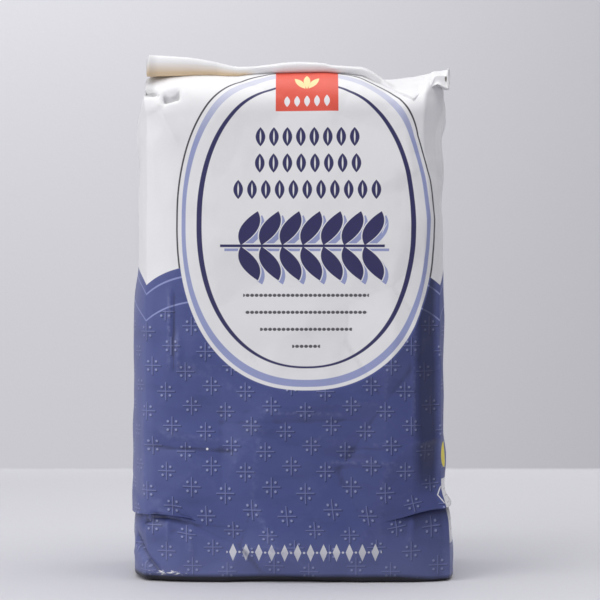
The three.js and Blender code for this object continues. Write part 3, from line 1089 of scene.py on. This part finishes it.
def lay_crease_shade(paper, fold, u, v, field):
    """Shade in the folds at the top left corner, towards the field's right, and most on the facet there."""
    corner = ((1 - abs(u - TOP_LEFT_U) / 7) * 3).clamp() * ((v - 290) / 2).clamp()
    paper.lay(GREY, corner * 0.24)
    tucked = ((v - 280) / 4).clamp() * ((-66 - u) / 4).clamp() * ((u + 104) / 4).clamp()
    paper.lay(GREY, (fold * -1).clamp() * tucked * 0.3)
    before_crease = (1 - (u - FACET_RIGHT) / 3).clamp()
    on_facet = ((u - FACET_LEFT) / 6).clamp() * ((v - 46) / 18).clamp()
    to_right = ((u + 40) / 100).clamp()
    paper.lay(DEEP, (to_right * 0.26 + on_facet * 0.5) * before_crease * field)


def lay_base_marks(paper, tree, u, v):
    """White scuffs on the base edge at the left, a painted contact shadow along the edge, and a white speck
    in the field.
    """
    middle_u, middle_v, half_u, half_v = SCUFF_BOX
    scuffed = (1 - abs(v - middle_v) / half_v).clamp() * (1.4 - abs(u - middle_u) / half_u).clamp()
    grain = noise(tree, u / 4, v, 0.8)
    paper.lay(WHITE, ((grain - 0.62 + scuffed * 0.16) * 14).clamp() * (scuffed * 4).clamp())
    # Painted contact shadow along the base edge, reaching higher at the left than at the right.
    foot = BASE_SHADE_LEFT - ((u - 58) / 20).clamp() * (BASE_SHADE_LEFT - BASE_SHADE_RIGHT)
    paper.lay(BASE_SHADE, inked(v - foot, BASE_SHADE_SOFT))
    speck_u, speck_v, speck_radius = SPECK
    paper.lay(WHITE, inked(round_distance(u - speck_u, v - speck_v, speck_radius)))


def strip_paper():
    """White outside. Where the left end has opened, the unprinted inner sheet shows below the front fold in
    tan, partly its own colour and partly painted shade that deepens under the fold. Painted shade also lies
    at the open left end and in the mouth of the ear.
    """
    material = bpy.data.materials.new("strip_paper")
    material.use_nodes = True
    tree = material.node_tree
    shader = tree.nodes["Principled BSDF"]
    x, around = paper_place(tree)
    paper = Paper(tree, WHITE)
    face_start = STRIP_FACE_START * STRIP_ROUND
    # The tan inner sheet, partly its own colour and partly painted shade.
    raw_in_shade = ((around - face_start - STRIP_RAW_SHADE_BELOW) / 8).clamp() * ((STRIP_LINING_SHADE_END - x) / 8).clamp()
    paper.lay(LINING_IN_SHADE, raw_in_shade)
    # Painted shade at the open left end.
    paper.lay(GREY, ((STRIP_OPEN_END - x) / 4).clamp() * 0.16)
    # Painted shade in the ear's mouth.
    mouth_x, mouth_around, half_wide, half_tall = STRIP_MOUTH
    mouth = (((x - mouth_x) / half_wide) ** 2 + ((around - mouth_around) / half_tall) ** 2) ** 0.5 - 1
    paper.lay(MOUTH_SHADE, inked(mouth, 0.6))
    tree.links.new(paper.color, shader.inputs["Base Color"])
    shader.inputs["Roughness"].default_value = STRIP_ROUGHNESS
    add_paper_bump(tree, shader)
    return material


def plain_paper(name, color, roughness):
    material = bpy.data.materials.new(name)
    material.use_nodes = True
    shader = material.node_tree.nodes["Principled BSDF"]
    shader.inputs["Base Color"].default_value = (*color, 1)
    shader.inputs["Roughness"].default_value = roughness
    add_paper_bump(material.node_tree, shader)
    return material


def paper_place(tree):
    """The two measures of the sheet's map, in mm."""
    uv_map = tree.nodes.new("ShaderNodeUVMap")
    uv_map.uv_map = "paper"
    split = tree.nodes.new("ShaderNodeSeparateXYZ")
    tree.links.new(uv_map.outputs["UV"], split.inputs[0])
    return Value(tree, split.outputs["X"]) * 1000, Value(tree, split.outputs["Y"]) * 1000


def printed_paper():
    material = bpy.data.materials.new("printed_paper")
    material.use_nodes = True
    tree = material.node_tree
    shader = tree.nodes["Principled BSDF"]
    paper = front_print(tree, *paper_place(tree))
    tree.links.new(paper.color, shader.inputs["Base Color"])
    shader.inputs["Roughness"].default_value = PAPER_ROUGHNESS
    shader.inputs["Specular IOR Level"].default_value = PAPER_SPECULAR
    add_paper_bump(tree, shader)
    return material


def add_paper_bump(tree, shader):
    """Soft cockles with the fibre's fine grain over them."""
    coordinates = tree.nodes.new("ShaderNodeTexCoord")
    normal = None
    for scale, distance in PAPER_BUMPS:
        cloud = tree.nodes.new("ShaderNodeTexNoise")
        cloud.inputs["Scale"].default_value = scale
        cloud.inputs["Detail"].default_value = 3
        tree.links.new(coordinates.outputs["Object"], cloud.inputs["Vector"])
        bump = tree.nodes.new("ShaderNodeBump")
        bump.inputs["Strength"].default_value = 0.5
        bump.inputs["Distance"].default_value = distance
        tree.links.new(cloud.outputs["Fac"], bump.inputs["Height"])
        if normal:
            tree.links.new(normal, bump.inputs["Normal"])
        normal = bump.outputs["Normal"]
    tree.links.new(normal, shader.inputs["Normal"])


# Camera, light and floor

FRONT_PLANE_Y = -0.060
CAMERA_DISTANCE = 1.2
CAMERA_X = 0.0044
CAMERA_HEIGHT = 0.1697
LENS = 120
SENSOR = 36
LIGHT_TARGET = (0, 0, 0.16)
WORLD_COLOR = (0.93, 0.93, 1)
WORLD_STRENGTH = 0.375
# Each light: name, place, what it points at, its two sides in metres, and watts.
LIGHTS = [
    ("key", (-1.55, -1.4, 1.0), LIGHT_TARGET, (1.5, 1.2), 20.4),
    ("wall_high", (-0.9, 1.95, 1.8), (-0.55, 3.14, 0.55), (3.0, 0.3), 31),
    ("wall_low", (-0.8, 1.9, -0.7), (-0.6, 3.14, -0.1), (3.0, 0.3), 7.0),
    ("top", (0.0, -0.15, 1.5), (0, -0.1, 0), (1.8, 1.0), 15.5),
    ("back_right", (0.95, 0.9, 0.5), LIGHT_TARGET, (0.5, 0.8), 2.0),
]
# Lights that the paper's gloss doesn't mirror.
UNMIRRORED = ["back_right"]
FLOOR_COLOR = (0.64, 0.635, 0.665)
FLOOR_ROUGHNESS = 0.7
FLOOR_FRONT = -3.0
FLOOR_DEPTH = 0.72
FLOOR_HALF = 3.0
COVE_REACH = 0.065
COVE_RISE = 0.008
COVE_STEPS = 12
WALL_PROFILE = [(3.2, -1.5), (3.2, 3.0)]
WALL_HALF = 4.0


def make_camera():
    data = bpy.data.cameras.new("camera")
    data.lens = LENS
    data.sensor_width = SENSOR
    camera = bpy.data.objects.new("camera", data)
    camera.location = (CAMERA_X, FRONT_PLANE_Y - CAMERA_DISTANCE, CAMERA_HEIGHT)
    camera.rotation_euler = (math.radians(90), 0, 0)
    bpy.context.scene.collection.objects.link(camera)
    bpy.context.scene.camera = camera


def area_light(name, place, target, size, power):
    data = bpy.data.lights.new(name, "AREA")
    data.shape = "RECTANGLE"
    data.size, data.size_y = size
    data.energy = power
    light = bpy.data.objects.new(name, data)
    light.location = place
    light.visible_camera = False
    light.visible_glossy = name not in UNMIRRORED
    light.rotation_euler = (Vector(target) - Vector(place)).to_track_quat("-Z", "Y").to_euler()
    bpy.context.scene.collection.objects.link(light)


def make_lights():
    world = bpy.data.worlds.new("studio")
    world.use_nodes = True
    background = world.node_tree.nodes["Background"]
    background.inputs["Color"].default_value = (*WORLD_COLOR, 1)
    background.inputs["Strength"].default_value = WORLD_STRENGTH
    bpy.context.scene.world = world
    for light in LIGHTS:
        area_light(*light)
    bpy.context.scene.view_settings.view_transform = "Standard"


def make_stage(name, profile, half, paint):
    """A sheet that keeps its profile, of places behind the front plane and heights, from side to side."""
    mesh_bm = bmesh.new()
    rows = [[mesh_bm.verts.new((x, y + FRONT_PLANE_Y, z)) for x in (-half, half)] for y, z in profile]
    for near, far in zip(rows, rows[1:]):
        face = mesh_bm.faces.new((near[0], near[1], far[1], far[0]))
        face.smooth = True
    make_object(name, mesh_bm, paint)


def make_surroundings():
    """A floor with a low cove at its back, and a wall far behind it that stands in no other view's way."""
    floor = [(FLOOR_FRONT, 0), (FLOOR_DEPTH - COVE_REACH, 0)]
    for turned in np.linspace(0, math.pi / 2, COVE_STEPS + 1)[1:]:
        y = FLOOR_DEPTH - COVE_REACH + COVE_REACH * math.sin(turned)
        floor.append((y, COVE_RISE - COVE_RISE * math.cos(turned)))
    paint = plain_paper("floor_paint", FLOOR_COLOR, FLOOR_ROUGHNESS)
    make_stage("floor", floor, FLOOR_HALF, paint)
    make_stage("wall", WALL_PROFILE, WALL_HALF, paint)


def corners(box):
    return [list(corner) for corner in box]


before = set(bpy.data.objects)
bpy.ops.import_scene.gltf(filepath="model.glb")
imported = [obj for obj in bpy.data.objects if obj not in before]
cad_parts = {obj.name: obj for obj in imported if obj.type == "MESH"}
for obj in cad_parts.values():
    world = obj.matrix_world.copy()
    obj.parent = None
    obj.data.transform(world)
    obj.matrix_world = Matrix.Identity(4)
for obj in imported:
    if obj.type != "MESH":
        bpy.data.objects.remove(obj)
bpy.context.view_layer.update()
make_camera()
make_lights()
make_surroundings()

bag = make_bag(printed_paper())
strip = make_strip(bag, strip_paper())
for piece in (bag, strip):
    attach(piece, "root")
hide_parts("flour_bag")
